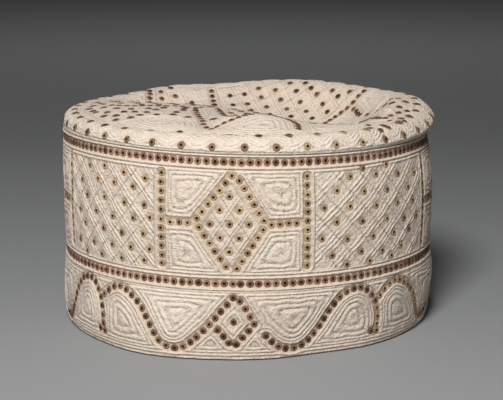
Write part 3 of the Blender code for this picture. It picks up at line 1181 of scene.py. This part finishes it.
def new_material(name):
    """An empty material, and the function that adds nodes to it."""
    material = bpy.data.materials.new(name)
    material.use_nodes = True
    material.node_tree.nodes.clear()
    return material, partial(add_node, material.node_tree)


def from_lattice_line(add, count):
    """Adds the distance from the nearest lattice line, in millimetres."""
    turn = add("Math", add("Math", count, 1, operation="ADD"), 1, operation="PINGPONG")
    return add("Math", turn, LATTICE_UNIT, operation="MULTIPLY")


def lattice_rib(add, across, middle, half_width, height):
    """Adds a rounded rib at this distance from a lattice line."""
    away = add("Math", add("Math", across, middle, operation="SUBTRACT"), operation="ABSOLUTE")
    part = add("Math", away, half_width, operation="DIVIDE")
    fall = add("Math", part, 1, 0.3, operation="SMOOTH_MIN")
    rib = add("Math", 1, fall, operation="SUBTRACT")
    return add("Math", rib, height, operation="MULTIPLY")


def quilted_cotton(name, cloth, line_depth=1.0, outer_rib=OUTER_RIB, furrow=0.16):
    """Hand-quilted cream cotton calico: matt, pebbly from close stitching, with dirt and painted
    shade in its lines.

    Line depth says how much painted shade and dirt darken the quilting lines, and furrow how much
    painted shade darkens the middles of the lattice's double ridges.
    """
    material, add = new_material(name)
    measures = [
        add("SeparateXYZ", add("Attribute", out="Vector", attribute_name=measure), out=slice(0, 3))
        for measure in ("quilt", "lattice", "marks")
    ]
    (lines, along, cord_share), (first, second, lattice_share), marks = measures
    bleeding, outer_share, puff = marks
    place = add("TexCoord", out="Object")

    # The cord between two quilting lines: 0 in the line, 1 on the cord's back
    fold = add("Math", lines, 0.5, operation="PINGPONG")
    cord = add("Math", add("Math", fold, 2, operation="MULTIPLY"), 0.6, operation="POWER")
    near_line = add("Math", 1, cord, operation="SUBTRACT")

    # The lattice: double ridges one way, thin sunk lines the other
    strong, thin = from_lattice_line(add, first), from_lattice_line(add, second)
    outer_height = add("Math", outer_share, outer_rib, operation="MULTIPLY")
    inner_ridge = lattice_rib(add, strong, INNER_RIB_PLACE, 0.7, 1)
    outer_ridge = lattice_rib(add, strong, OUTER_RIB_PLACE, 0.7, outer_height)
    ridge = add("Math", inner_ridge, outer_ridge, operation="MAXIMUM")
    sunk = lattice_rib(add, thin, 0, 0.55, 1)
    ridge_height = add("Math", sunk, -0.85, ridge, operation="MULTIPLY_ADD")

    # Back stitches along the lines, and the pebbly, fulled face of the cotton
    stitch_turn = add("Math", along, 2 * pi / (cloth.stitch_length / MM), operation="MULTIPLY")
    stitch = add("Math", stitch_turn, operation="SINE")
    stitch_share = add("Math", near_line, cord_share, operation="MULTIPLY")
    pebble, weave, lumps, patch = (
        add(
            "TexNoise",
            inputs={
                "Vector": place,
                "Scale": 1 / (size * MM),
                "Detail": detail,
                "Roughness": roughness,
            },
        )
        for size, detail, roughness in ((1.6, 3, 0.65), (0.45, 1, 0.5), (9, 2, 0.5), (26, 3, 0.5))
    )
    height = 0.0
    for layer, weight in (
        (add("Math", cord, cord_share, operation="MULTIPLY"), 0.36),
        (add("Math", ridge_height, lattice_share, operation="MULTIPLY"), 0.3),
        (add("Math", stitch, stitch_share, operation="MULTIPLY"), 0.08),
        (pebble, 1.15),
        (weave, 0.12),
        (lumps, 0.5),
    ):
        height = add("Math", layer, weight, height, operation="MULTIPLY_ADD")
    bump = add("Bump", inputs={"Strength": 1.0, "Distance": MM, "Height": height})

    # Painted shade, with some dirt, in the quilting lines: less between stitches and further from a
    # seam
    line_shade_and_dirt = add("Math", near_line, 1.5, operation="POWER")
    between_stitches = add("Math", stitch, -0.05, 0.2, operation="MULTIPLY_ADD")
    near_seam = add("MapRange", lines, 1.5, 4.0, line_depth, 0.65 * line_depth)
    for share in (cord_share, puff, between_stitches, near_seam):
        line_shade_and_dirt = add("Math", line_shade_and_dirt, share, operation="MULTIPLY")

    # Painted shade in the lattice, in its sunk lines, off its ridges and in the valleys of its
    # double ridges, and in the pits of the cotton's face
    off_ridge_shade = add("Math", ridge, -0.08, 0.08, operation="MULTIPLY_ADD")
    lattice_shade = add("Math", sunk, 0.4, off_ridge_shade, operation="MULTIPLY_ADD")
    inner_valley_shade = lattice_rib(add, strong, 0, 0.5, furrow)
    outer_valley_darkness = add("Math", outer_share, 0.1, operation="MULTIPLY")
    ribs_middle = (INNER_RIB_PLACE + OUTER_RIB_PLACE) / 2
    outer_valley_shade = lattice_rib(add, strong, ribs_middle, 0.5, outer_valley_darkness)
    valley_shade = add("Math", inner_valley_shade, outer_valley_shade, operation="MAXIMUM")
    lattice_shade = add("Math", lattice_shade, valley_shade, operation="ADD")
    lattice_shade = add("Math", lattice_shade, lattice_share, operation="MULTIPLY")
    pit_shade = add("MapRange", pebble, 0.32, 0.56, 0.15 + 0.15 * line_depth, 0)
    # Depth: how far painted shade, with some dirt in the quilting lines, turns the cotton to the
    # groove colour
    depth = add("Math", line_shade_and_dirt, lattice_shade, operation="MAXIMUM")
    depth = add("Math", depth, pit_shade, operation="ADD")

    # The thread's bleeding, and patches from age
    bled = add("Math", bleeding, 0.7, operation="MULTIPLY")
    patchy = add("Math", add("MapRange", patch, 0.35, 0.7, 0, 0.34), 0.6, operation="MULTIPLY")
    stained = add("Math", bled, patchy, operation="MAXIMUM")
    colour_inputs = {0: stained, 6: (*cloth.cotton, 1), 7: (*cloth.stain, 1)}
    cotton = add("Mix", inputs=colour_inputs, out=2, data_type="RGBA")
    # The cotton turned towards the groove colour: painted shade, with some dirt, in lines, valleys
    # and pits
    colour_inputs = {0: depth, 6: cotton, 7: (*cloth.groove_shade_and_dirt, 1)}
    lined = add("Mix", inputs=colour_inputs, out=2, data_type="RGBA")
    shader = add(
        "BsdfPrincipled",
        inputs={
            "Base Color": lined,
            "Normal": bump,
            "Roughness": 0.93,
            "IOR": 1.45,
            "Specular IOR Level": 0.25,
            "Sheen Weight": 0.04,
            "Sheen Roughness": 0.5,
        },
    )
    add("OutputMaterial", shader)
    return material


def eyelet_thread():
    """Mercerised cotton thread wound over the edge of a hole: a soft gleam, and painted shade dark
    down inside.
    """
    material, add = new_material("wound_cotton_thread")
    dye = add("Attribute", out="Color", attribute_name="thread")
    across = add("Attribute", out="Fac", attribute_name="across")
    uv = add("UVMap", uv_map="stitches")
    centred = add("VectorMath", uv, (0.5, 0.5, 0), operation="SUBTRACT")
    side, up, _ = add("SeparateXYZ", centred, out=slice(0, 3))
    turn = add("Math", up, side, operation="ARCTAN2")
    winding = add("Math", add("Math", turn, 13, operation="MULTIPLY"), operation="SINE")
    place = add("TexCoord", out="Object")
    fray = add("TexNoise", inputs={"Vector": place, "Scale": 1 / (0.7 * MM), "Detail": 2})
    frayed = add("Math", fray, 0.5, operation="MULTIPLY")
    height = add("Math", winding, 0.07, frayed, operation="MULTIPLY_ADD")
    bump = add("Bump", inputs={"Strength": 1.0, "Distance": MM, "Height": height})

    # Painted shade: near black in the hole and darker at the foot where the ring meets the cloth.
    # Worn by chance.
    hole = add("MapRange", across, 0.31, 0.48, 1, 0)
    foot_shade = add("MapRange", across, 0.68, 0.95, 1, 0.42)
    worn = add("MapRange", fray, 0.3, 0.7, 0.6, 1.35)
    shade_and_wear = add("Math", foot_shade, worn, operation="MULTIPLY")
    dyed = add("VectorMath", dye, inputs={"Scale": shade_and_wear}, operation="SCALE")
    # The near-black colour painted in the hole stands for the shade down inside it
    colour_inputs = {0: hole, 6: dyed, 7: (*linear("2e1502"), 1)}
    ringed = add("Mix", inputs=colour_inputs, out=2, data_type="RGBA")
    shader = add(
        "BsdfPrincipled",
        inputs={
            "Base Color": ringed,
            "Normal": bump,
            "Roughness": 0.75,
            "IOR": 1.45,
            "Specular IOR Level": 0.3,
        },
    )
    add("OutputMaterial", shader)
    return material


def settle(cloth_piece, eyelet_piece, node):
    """Attaches a finished piece of cloth and its eyelets to the root, and hides the part they stand
    for.
    """
    for piece in (cloth_piece, eyelet_piece):
        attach(piece, "root")
    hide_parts(node)


def make_ring(scene, node, slot, low, high, rows, pattern, cotton, seed, cut=None, **shape):
    """Makes one ring of cloth with its eyelets, attaches them to the root and hides the part they
    stand for.

    Cut is the width of the flat strip, where more of it is turned under than shows; it is not used.
    """
    name = f"{node}_cloth"
    ring = make_wall_piece(name, low, high, rows, pattern, scene.kufi_cloth, cotton, **shape)
    eyelets = sew_eyelets(f"{node}_eyelets", pattern, wall_seat, scene.kufi_eyelets, seed)
    if cut:
        settle(ring, eyelets, node)
    else:
        settle(ring, eyelets, node)


def wall_seat(a, b):
    """The wall's surface at these places in millimetres along its cloth."""
    return wall_surface(a / DEGREE, b)


class KUFI_OT_make_crown(bpy.types.Operator):
    """Makes the crown with its scallops, leaves, kites and lattices."""

    bl_idname = "kufi.make_crown"
    bl_label = "Make crown"

    def execute(self, context):
        cloth, eyelets = context.scene.kufi_cloth, context.scene.kufi_eyelets
        pattern = crown_pattern()
        looks = {"line_depth": 0.34, "outer_rib": CROWN_OUTER_RIB, "furrow": 0.34}
        cotton = quilted_cotton("quilted_crown_cotton", cloth, **looks)
        crown = make_crown_piece("crown_cloth", pattern, cloth, cotton)
        rise = CROWN_EYELET_RISE
        rings = sew_eyelets("crown_eyelets", pattern, crown_surface, eyelets, seed=3, rise=rise)
        settle(crown, rings, "crown")
        return {"FINISHED"}


class KUFI_OT_make_side_wall(bpy.types.Operator):
    """Makes the side wall with its lattice panels and diamond panels."""

    bl_idname = "kufi.make_side_wall"
    bl_label = "Make side wall"

    def execute(self, context):
        scene = context.scene
        pattern = wall_pattern(scene.kufi_eyelets.spacing / MM)
        low, high = LOWER_BAND_TOP + CLOTH_SHORT, UPPER_BAND_EDGE - CLOTH_SHORT
        cotton = quilted_cotton("quilted_wall_cotton", scene.kufi_cloth)
        make_ring(scene, "side_wall", "wall_cotton", low, high, 87, pattern, cotton, seed=5)
        return {"FINISHED"}


class KUFI_OT_make_hem_band(bpy.types.Operator):
    """Makes the hem band with its waves and small diamonds."""

    bl_idname = "kufi.make_hem_band"
    bl_label = "Make hem band"

    def execute(self, context):
        scene = context.scene
        pattern = hem_pattern(scene.kufi_eyelets.spacing / MM)
        high = LOWER_BAND_EDGE - CLOTH_SHORT
        cotton = quilted_cotton("quilted_hem_cotton", scene.kufi_cloth)
        shape = {"columns": 1200, "tuck": HEM_TUCK}
        make_ring(scene, "hem_band", "hem_cotton", 0, high, 66, pattern, cotton, seed=7, **shape)
        return {"FINISHED"}


# The narrow bands: their edges, the height of their row of eyelets and the seed of its chance
Band = namedtuple("Band", "node low high middle seed")
BANDS = (
    Band("upper_eyelet_band", UPPER_BAND_EDGE - BAND_PAST, CROWN_EDGE - BAND_TOP_SHORT, 92.3, 11),
    Band("lower_eyelet_band", LOWER_BAND_EDGE - BAND_PAST, LOWER_BAND_TOP + BAND_PAST, 36.5, 13),
)


class KUFI_OT_make_eyelet_bands(bpy.types.Operator):
    """Makes the two narrow bands, each a close row of eyelets between two cords."""

    bl_idname = "kufi.make_eyelet_bands"
    bl_label = "Make eyelet bands"

    def execute(self, context):
        scene = context.scene
        cotton = quilted_cotton("quilted_band_cotton", scene.kufi_cloth, line_depth=0.3)
        shape = {"cut": BAND_CUT, "piping": PIPING}
        for node, low, high, middle, seed in BANDS:
            pattern = band_pattern(middle, scene.kufi_eyelets.band_count)
            slot = "eyelet_band_cotton"
            make_ring(scene, node, slot, low, high, 18, pattern, cotton, seed, **shape)
        return {"FINISHED"}


# One large soft light from above the camera, a faint one from the left, and one on the floor behind
Light = namedtuple("Light", "name place size power aim")
CAP_MIDDLE = (0, 0, 0.06)
LIGHTS = (
    Light("key_light", (-0.14, -0.82, 0.78), 0.34, 14.35, CAP_MIDDLE),
    Light("fill_light", (-1.3, 0.1, 0.7), 0.9, 0.2, CAP_MIDDLE),
    Light("floor_light", (0, 1.3, 1.2), 1.0, 4.2, aim=(0, 3.2, 0)),
)
AIR_STRENGTH = 0.042


class KUFI_OT_set_stage(bpy.types.Operator):
    """Sets the floor, the lights and the camera."""

    bl_idname = "kufi.set_stage"
    bl_label = "Set stage"

    def execute(self, context):
        scene = context.scene
        stage = scene.kufi_stage
        add_floor(stage)
        for light in LIGHTS:
            add_area_light(light)
        world = bpy.data.worlds.new("studio_air")
        world.use_nodes = True
        air = world.node_tree.nodes["Background"].inputs
        air["Color"].default_value = (1, 1, 1, 1)
        air["Strength"].default_value = AIR_STRENGTH
        scene.world = world
        scene.view_settings.view_transform = "Standard"
        camera = bpy.data.cameras.new("camera")
        camera.lens = stage.lens
        camera.sensor_width = 36
        scene.camera = bpy.data.objects.new("camera", camera)
        scene.camera.location = stage.camera_place
        scene.camera.rotation_euler = (pi / 2 - stage.camera_pitch, 0, 0)
        scene.collection.objects.link(scene.camera)
        return {"FINISHED"}


def add_floor(stage):
    """A plain grey floor of matt studio paper."""
    builder = bmesh.new()
    bmesh.ops.create_circle(builder, cap_ends=True, radius=6.0, segments=64)
    material, add = new_material("matt_studio_paper")
    shader_inputs = {"Base Color": (*stage.floor_colour, 1), "Roughness": 0.85}
    add("OutputMaterial", add("BsdfPrincipled", inputs=shader_inputs))
    add_object("floor", take_mesh(builder, "floor"), material)


def add_area_light(light):
    """Adds a round soft light that faces its aim."""
    lamp = bpy.data.lights.new(light.name, "AREA")
    lamp.shape = "DISK"
    lamp.size = light.size
    lamp.energy = light.power
    holder = bpy.data.objects.new(light.name, lamp)
    holder.location = light.place
    way = Vector(light.aim) - Vector(light.place)
    holder.rotation_euler = way.to_track_quat("-Z", "Y").to_euler()
    bpy.context.scene.collection.objects.link(holder)


class KUFI_PT_panel(bpy.types.Panel):
    """Lists the kufi's sizes, colours and steps."""

    bl_label = "Kufi"
    bl_idname = "KUFI_PT_panel"
    bl_space_type = "VIEW_3D"
    bl_region_type = "UI"
    bl_category = "Kufi"

    def draw(self, context):
        for name, group in GROUPS.items():
            box = self.layout.box()
            for setting in group.__annotations__:
                box.prop(getattr(context.scene, name), setting)
        for step in STEPS:
            self.layout.operator(step.bl_idname)


STEPS = (
    KUFI_OT_set_stage,
    KUFI_OT_make_crown,
    KUFI_OT_make_side_wall,
    KUFI_OT_make_hem_band,
    KUFI_OT_make_eyelet_bands,
)
GROUPS = {"kufi_cloth": KufiCloth, "kufi_eyelets": KufiEyelets, "kufi_stage": KufiStage}
CLASSES = (*GROUPS.values(), *STEPS, KUFI_PT_panel)


def register():
    for item in CLASSES:
        bpy.utils.register_class(item)
    for name, group in GROUPS.items():
        setattr(bpy.types.Scene, name, PointerProperty(type=group))


def unregister():
    for name in GROUPS:
        delattr(bpy.types.Scene, name)
    for item in reversed(CLASSES):
        bpy.utils.unregister_class(item)


def main():
    register()
    bpy.ops.kufi.set_stage()
    bpy.ops.kufi.make_crown()
    bpy.ops.kufi.make_side_wall()
    bpy.ops.kufi.make_hem_band()
    bpy.ops.kufi.make_eyelet_bands()


if __name__ == "__main__":
    main()
